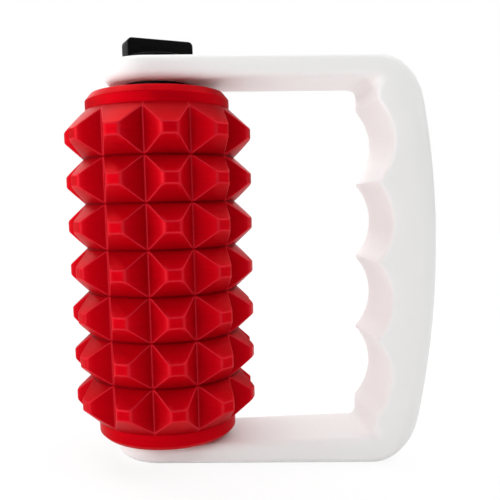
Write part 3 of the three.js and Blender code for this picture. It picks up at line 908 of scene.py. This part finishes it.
def barPatch(v):
    # the front outline shrunk by the edge's quarter round while it moves in from the front and back faces
    quarter = np.linspace(0, math.pi / 2, v["edgeSteps"] + 1)
    shrink, depth = v["edge"] * (1 - np.sin(quarter)), v["edge"] * (1 - np.cos(quarter))
    left, right = v["offset"] - v["length"] / 2, v["offset"] + v["length"] / 2
    top = v["base"] + v["height"]
    rows = []
    inwards, across = [*shrink, *shrink[::-1]], [*depth, *(v["width"] - depth[::-1])]
    for o, y in zip(inwards, across):
        foot, corner = v["footCorner"] - o, v["corner"] - o
        outline = [[left + o, o, foot], [right - o, o, foot]]
        outline += [[right - o, top - o, corner], [left + o, top - o, corner]]
        outline = filleted(outline, True, v["cornerSteps"])
        rows.append(np.column_stack([outline[:, 0], 0 * outline[:, 0] + y - v["width"] / 2, outline[:, 1]]))
    ends = [0 * row + row.mean(0) for row in (rows[0], rows[-1])]
    rows = np.stack([ends[0], *rows, ends[1]])
    return rows, gridQuads(*rows.shape[:2])


def turnedKnob(v, patch):
    # the knob's own turn about the axle, and its height on the arm
    points, faces = patch
    x, y, z = np.moveaxis(np.asarray(points, float), -1, 0)
    c, s = math.cos(math.radians(v["turn"])), math.sin(math.radians(v["turn"]))
    return np.stack([x * c - y * s, x * s + y * c, z + knobFoot], -1), faces


def makeKnob(v):
    top, recess = v["base"] + v["height"], knobRecessTop - knobFoot
    press, past = sizes["pressGap"], meshSet["cutterPast"]
    radius, rim = v["radius"], v["baseRound"]
    base = [[0, 0, 0], [radius, 0, rim], [radius, v["base"], rim], [0, v["base"], 0]]
    base = filleted(base, False, v["baseSteps"])
    knob = makePiece("releaseKnob", [turnedKnob(v, turnedPatch(base, meshSet["segments"]))], None)
    cut(knob, makePiece("bar", [turnedKnob(v, barPatch(v))], None), "UNION")

    washer, socket = roundSet["knobWasherRadius"] + sizes["faceGap"], axleSet["spigot"] + press
    hollow = [[0, -past], [washer, -past], [washer, recess], [socket, recess]]
    hollow += [[socket, top - axleSet["web"]], [0, top - axleSet["web"]]]
    shank, head, foot = v["screwRadius"] + press, v["screwHead"] + press, v["screwHoleFoot"]
    hole = [[0, foot], [shank, foot], [shank, top - v["screwHeadHeight"]]]
    hole += [[head, top], [head, top + past], [0, top + past]]
    for profile in (hollow, hole):
        cut(knob, makePiece("hollow", [turnedKnob(v, turnedPatch(profile))], None))
    finishPiece(knob, "release_knob", v["sharp"])


def makeScrew(v):
    # rows of points from the socket's floor, over the head and down the shank. The hexagon's radius is the
    # distance to its flats over the cosine of the angle from the nearest flat's middle
    top = v["base"] + v["height"]
    neck, foot = top - v["screwHeadHeight"], top - v["screwLength"]
    around = 2 * math.pi * np.arange(meshSet["fewerSegments"]) / meshSet["fewerSegments"]
    hexagon = v["hexRadius"] * math.cos(math.pi / 6) / np.cos(np.mod(around, math.pi / 3) - math.pi / 6)
    flat, lip, floor = 0 * around, v["screwEdge"], top - v["hexDepth"]
    rows = [(flat, floor), (hexagon, floor), (hexagon, top - lip), (hexagon + lip, top)]
    rows += [(flat + v["screwHead"] - lip, top), (flat + v["screwHead"], top - lip)]
    rows += [(flat + v["screwRadius"], neck), (flat + v["screwRadius"], foot), (flat, foot)]
    points = np.stack([np.stack([r * np.cos(around), r * np.sin(around), flat + z], -1) for r, z in rows])
    makePiece("knobScrew", [turnedKnob(v, (points, gridQuads(*points.shape[:2])))], "knob_screw", v["sharp"])


makeAxle(axleSet, knobFoot + knobSet["base"] + knobSet["height"])
makeKnob(knobSet)
makeScrew(knobSet)
print("pieces made")


# Finishes: every slot of the record has its own material, with grain, tone and gloss that vary over the piece

finishes = {
    "handle_plastic": {
        "colour": (0.91, 0.908, 0.903), "tone": 0.012, "roughness": 0.42, "gloss": 0.06,
        "grain": 1800, "grainHeight": 0.00001, "specular": 0.4, "depth": 0.3,
    },
    "sleeve_rubber": {
        "colour": (0.56, 0.0005, 0.006), "tone": 0.08, "roughness": 0.36, "gloss": 0.05,
        "grain": 1500, "grainHeight": 0.000015, "specular": 0.035, "metal": 0.2, "tint": (1, 0.1, 0.14),
        "streak": 0.07, "low": 0.7, "high": 1.02,  # shares of the colour in the grooves and on the tips, a painted shade down each stud
        # painted highlight colour for the ridges, tip edges and column grooves
        "ridge": (0.92, 0.06, 0.09), "ridgeHighlightShare": 0.32,
        # painted shade colour for the grooves between the rows
        "groove": (0.16, 0.0002, 0.002), "grooveShadeShare": 0.8,
    },
    "cap_plastic": {
        "colour": (0.53, 0.0005, 0.006), "tone": 0.05, "roughness": 0.34, "gloss": 0.05,
        "grain": 1600, "grainHeight": 0.00001, "specular": 0.022, "metal": 0.2, "tint": (1, 0.1, 0.14),
        "streak": 0.07,
    },
    "black_plastic": {
        "colour": (0.004, 0.004, 0.0042), "tone": 0.2, "roughness": 0.55, "gloss": 0.08,
        "grain": 1500, "grainHeight": 0.00002, "specular": 0.1,
    },
    "knob_plastic": {
        "colour": (0.001, 0.001, 0.0011), "tone": 0.25, "roughness": 0.5, "gloss": 0.1,
        "grain": 1100, "grainHeight": 0.00012, "specular": 0.08,
    },
    "ring_rubber": {
        "colour": (0.010, 0.010, 0.010), "tone": 0.2, "roughness": 0.65, "gloss": 0.1,
        "grain": 1500, "grainHeight": 0.00002, "specular": 0.35,
    },
    "washer_plastic": {
        "colour": (0.74, 0.71, 0.64), "tone": 0.03, "roughness": 0.35, "gloss": 0.06,
        "grain": 1500, "grainHeight": 0.00001, "specular": 0.5,
    },
    "axle_steel": {
        "colour": (0.60, 0.61, 0.62), "tone": 0.06, "roughness": 0.24, "gloss": 0.1,
        "grain": 300, "grainHeight": 0.000004, "specular": 0.5, "metal": 1,
    },
}

patternSet = {
    "broad": 45,  # scale of the slow change in tone and gloss
    "broadDetail": 4,
    "grainDetail": 2,
    "streak": (60, 60, 1500),  # scale along X, Y and Z of the fine level streaks
    "streakDetail": 3,
    "streakRange": (0.25, 0.75),  # of the noise, spread over the whole change in tone
    "scatter": 0.004,  # metres that light reaches under the white surface
}


def noise(tree, vector, scale, detail):
    node = addNode(tree, "ShaderNodeTexNoise", {"Vector": vector, "Scale": scale, "Detail": detail})
    return node.outputs["Fac"]


def scaled(tree, colour, factor):
    # a colour times a factor
    return addNode(tree, "ShaderNodeVectorMath", {0: colour, "Scale": factor}, "SCALE").outputs["Vector"]


def paintedLightColour(tree, base, v):
    # painted shade darkens the sleeve's colour down a stud, and its lines go to a painted highlight on ridges or
    # painted shade in grooves
    paintedLight, rise = addNode(tree, "ShaderNodeAttribute", {}), addNode(tree, "ShaderNodeAttribute", {})
    paintedLight.attribute_name, rise.attribute_name = "paintedLight", "rise"
    # painted shade: darker down each stud towards the grooves, full colour near the tips
    base = scaled(tree, base, rangeNode(tree, rise.outputs["Fac"], v["low"], v["high"]))
    for share, target in ((v["ridgeHighlightShare"], v["ridge"]), (-v["grooveShadeShare"], v["groove"])):
        blend = tree.nodes.new("ShaderNodeMix")
        blend.data_type = "RGBA"
        tree.links.new(mathNode(tree, "MULTIPLY", paintedLight.outputs["Fac"], share), blend.inputs["Factor"])
        tree.links.new(base, blend.inputs[6])
        blend.inputs[7].default_value = (*target, 1)
        base = blend.outputs[2]
    return base


def finish(slot, v, p):
    material = bpy.data.materials.new(slot)
    material.use_nodes = True
    tree = material.node_tree
    shader = tree.nodes["Principled BSDF"]
    for name, value in (
        ("Metallic", v.get("metal", 0)),
        ("Specular IOR Level", v["specular"]),
        ("Specular Tint", (*v.get("tint", (1, 1, 1)), 1)),
        ("Subsurface Weight", v.get("depth", 0)),
        ("Subsurface Radius", (1, 1, 1)),
        ("Subsurface Scale", p["scatter"]),
    ):
        shader.inputs[name].default_value = value
    place = addNode(tree, "ShaderNodeTexCoord", {}).outputs["Object"]

    broad = noise(tree, place, p["broad"], p["broadDetail"])
    base = scaled(tree, v["colour"], rangeNode(tree, broad, 1 - v["tone"], 1 + v["tone"]))
    if "streak" in v:
        flat = addNode(tree, "ShaderNodeMapping", {"Vector": place, "Scale": p["streak"]}).outputs["Vector"]
        streak = noise(tree, flat, 1, p["streakDetail"])
        share = rangeNode(tree, streak, 1 - v["streak"], 1 + v["streak"], *p["streakRange"])
        base = scaled(tree, base, share)
    if "ridge" in v:
        base = paintedLightColour(tree, base, v)
    tree.links.new(base, shader.inputs["Base Color"])

    gloss = rangeNode(tree, broad, v["roughness"] - v["gloss"], v["roughness"] + v["gloss"])
    tree.links.new(gloss, shader.inputs["Roughness"])
    grain = noise(tree, place, v["grain"], p["grainDetail"])
    bump = addNode(tree, "ShaderNodeBump", {"Strength": 1, "Distance": v["grainHeight"], "Height": grain})
    tree.links.new(bump.outputs["Normal"], shader.inputs["Normal"])
    return material


materials = {slot: finish(slot, values, patternSet) for slot, values in finishes.items()}
slotOf = {part["node"]: part["material_slot"] for part in frame["record"]["subparts"]}
shown = [(piece, slotOf[node]) for node, piece in frame["nodes"].items()]
shown += [(piece, piece["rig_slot"]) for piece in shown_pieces() if "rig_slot" in piece]
for piece, slot in shown:
    piece.data.materials.clear()
    piece.data.materials.append(materials[slot])
print("finishes made")
